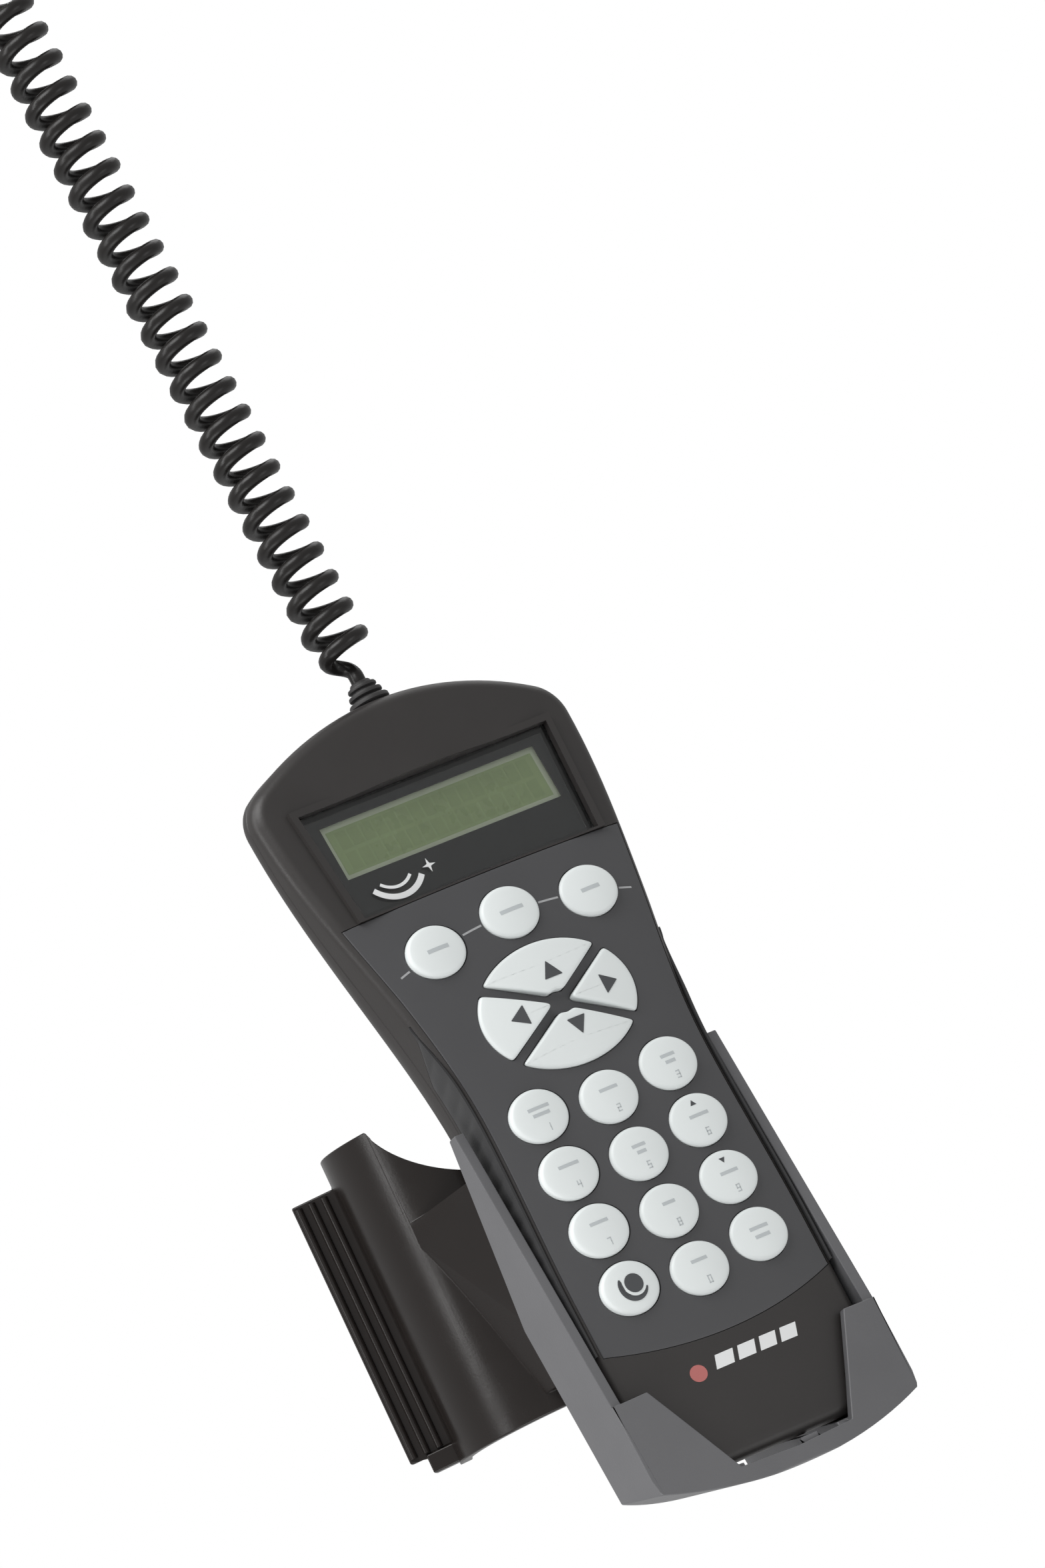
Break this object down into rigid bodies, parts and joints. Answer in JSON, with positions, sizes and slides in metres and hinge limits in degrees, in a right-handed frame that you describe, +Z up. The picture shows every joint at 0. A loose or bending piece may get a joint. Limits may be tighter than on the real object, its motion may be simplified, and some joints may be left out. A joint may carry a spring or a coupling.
{
  "type": "telescope hand controller",
  "caption": "Handheld telescope controller with domed head, display, arrow and number keys, docked in a cradle on a leg clamp, with a curly cord.",
  "frame": {"origin": "middle of the leg clamp's bore, half way up the clip", "axes": "+Z up the handset's length towards the cord, the keys face -Y, +X to the right as the user sees the keys"},
  "size_m": [0.092, 0.1154, 0.4344],
  "materials": {
    "clamp_plastic": "satin",
    "cradle_plastic": "satin",
    "casing_front": "satin",
    "casing_rear": "satin",
    "grip_rubber": "matte",
    "panel_plastic": "satin",
    "window_pane": "polished",
    "seal_foam": "matte",
    "mask_black": "matte",
    "frame_steel": "satin",
    "display_green": "polished",
    "light_diffuser": "matte",
    "circuit_board": "satin",
    "ribbon_film": "satin",
    "web_silicone": "matte",
    "dome_steel": "polished",
    "light_red": "polished",
    "chip_epoxy": "matte",
    "header_nylon": "satin",
    "port_plastic": "satin",
    "screw_steel": "satin",
    "relief_rubber": "matte",
    "cord_jacket": "satin",
    "plug_clear": "polished",
    "contact_gold": "polished",
    "key_silicone": "satin"
  },
  "bodies": {
    "clamp": {"leg_clamp": "clamp_plastic"},
    "cradle_tray": {"cradle": "cradle_plastic"},
    "handset": {"front_shell": "casing_front", "rear_shell": "casing_rear", "left_grip": "grip_rubber", "right_grip": "grip_rubber", "keypad_panel": "panel_plastic", "display_window": "window_pane", "window_gasket": "seal_foam", "display_mask": "mask_black", "display_frame": "frame_steel", "display_glass": "display_green", "display_backlight": "light_diffuser", "display_board": "circuit_board", "display_ribbon": "ribbon_film", "keypad_web": "web_silicone", "main_board": "circuit_board", "switch_domes": "dome_steel", "key_lights": "light_red", "processor_chip": "chip_epoxy", "memory_chip": "chip_epoxy", "cord_header": "header_nylon", "inner_lead": "cord_jacket", "data_port": "port_plastic", "case_screws": "screw_steel", "board_screws": "screw_steel", "strain_relief": "relief_rubber", "cord_lead": "cord_jacket", "cord_coil": "cord_jacket", "cord_tail": "cord_jacket", "cord_plug": "plug_clear", "plug_contacts": "contact_gold"},
    "key_align_cap": {"key_align": "key_silicone"},
    "key_enter_cap": {"key_enter": "key_silicone"},
    "key_back_cap": {"key_back": "key_silicone"},
    "key_1_cap": {"key_1": "key_silicone"},
    "key_2_cap": {"key_2": "key_silicone"},
    "key_3_cap": {"key_3": "key_silicone"},
    "key_4_cap": {"key_4": "key_silicone"},
    "key_5_cap": {"key_5": "key_silicone"},
    "key_6_cap": {"key_6": "key_silicone"},
    "key_7_cap": {"key_7": "key_silicone"},
    "key_8_cap": {"key_8": "key_silicone"},
    "key_9_cap": {"key_9": "key_silicone"},
    "key_option_cap": {"key_option": "key_silicone"},
    "key_0_cap": {"key_0": "key_silicone"},
    "key_speed_cap": {"key_speed": "key_silicone"},
    "key_right_cap": {"key_right": "key_silicone"},
    "key_up_cap": {"key_up": "key_silicone"},
    "key_left_cap": {"key_left": "key_silicone"},
    "key_down_cap": {"key_down": "key_silicone"}
  },
  "joints": [
    {"name": "cradle_lift", "type": "slide", "parent": "clamp", "child": "cradle_tray", "axis": [0, 0, 1], "range_m": [0, 0.055]},
    {"name": "handset_lift", "type": "slide", "parent": "cradle_tray", "child": "handset", "axis": [0, 0, 1], "range_m": [0, 0.06]},
    {"name": "key_align_press", "type": "slide", "parent": "handset", "child": "key_align_cap", "axis": [0, 0.9971, -0.0767], "range_m": [0, 0.0012], "stiffness_N_per_m": 1500},
    {"name": "key_enter_press", "type": "slide", "parent": "handset", "child": "key_enter_cap", "axis": [0, 0.9971, -0.0767], "range_m": [0, 0.0012], "stiffness_N_per_m": 1500},
    {"name": "key_back_press", "type": "slide", "parent": "handset", "child": "key_back_cap", "axis": [0, 0.9971, -0.0767], "range_m": [0, 0.0012], "stiffness_N_per_m": 1500},
    {"name": "key_1_press", "type": "slide", "parent": "handset", "child": "key_1_cap", "axis": [0, 1, 0], "range_m": [0, 0.0012], "stiffness_N_per_m": 1500},
    {"name": "key_2_press", "type": "slide", "parent": "handset", "child": "key_2_cap", "axis": [0, 1, 0], "range_m": [0, 0.0012], "stiffness_N_per_m": 1500},
    {"name": "key_3_press", "type": "slide", "parent": "handset", "child": "key_3_cap", "axis": [0, 1, 0], "range_m": [0, 0.0012], "stiffness_N_per_m": 1500},
    {"name": "key_4_press", "type": "slide", "parent": "handset", "child": "key_4_cap", "axis": [0, 1, 0], "range_m": [0, 0.0012], "stiffness_N_per_m": 1500},
    {"name": "key_5_press", "type": "slide", "parent": "handset", "child": "key_5_cap", "axis": [0, 1, 0], "range_m": [0, 0.0012], "stiffness_N_per_m": 1500},
    {"name": "key_6_press", "type": "slide", "parent": "handset", "child": "key_6_cap", "axis": [0, 1, 0], "range_m": [0, 0.0012], "stiffness_N_per_m": 1500},
    {"name": "key_7_press", "type": "slide", "parent": "handset", "child": "key_7_cap", "axis": [0, 1, 0], "range_m": [0, 0.0012], "stiffness_N_per_m": 1500},
    {"name": "key_8_press", "type": "slide", "parent": "handset", "child": "key_8_cap", "axis": [0, 1, 0], "range_m": [0, 0.0012], "stiffness_N_per_m": 1500},
    {"name": "key_9_press", "type": "slide", "parent": "handset", "child": "key_9_cap", "axis": [0, 1, 0], "range_m": [0, 0.0012], "stiffness_N_per_m": 1500},
    {"name": "key_option_press", "type": "slide", "parent": "handset", "child": "key_option_cap", "axis": [0, 1, 0], "range_m": [0, 0.0012], "stiffness_N_per_m": 1500},
    {"name": "key_0_press", "type": "slide", "parent": "handset", "child": "key_0_cap", "axis": [0, 1, 0], "range_m": [0, 0.0012], "stiffness_N_per_m": 1500},
    {"name": "key_speed_press", "type": "slide", "parent": "handset", "child": "key_speed_cap", "axis": [0, 1, 0], "range_m": [0, 0.0012], "stiffness_N_per_m": 1500},
    {"name": "key_right_press", "type": "slide", "parent": "handset", "child": "key_right_cap", "axis": [0, 1, 0], "range_m": [0, 0.0012], "stiffness_N_per_m": 1500},
    {"name": "key_up_press", "type": "slide", "parent": "handset", "child": "key_up_cap", "axis": [0, 1, 0], "range_m": [0, 0.0012], "stiffness_N_per_m": 1500},
    {"name": "key_left_press", "type": "slide", "parent": "handset", "child": "key_left_cap", "axis": [0, 1, 0], "range_m": [0, 0.0012], "stiffness_N_per_m": 1500},
    {"name": "key_down_press", "type": "slide", "parent": "handset", "child": "key_down_cap", "axis": [0, 1, 0], "range_m": [0, 0.0012], "stiffness_N_per_m": 1500}
  ]
}
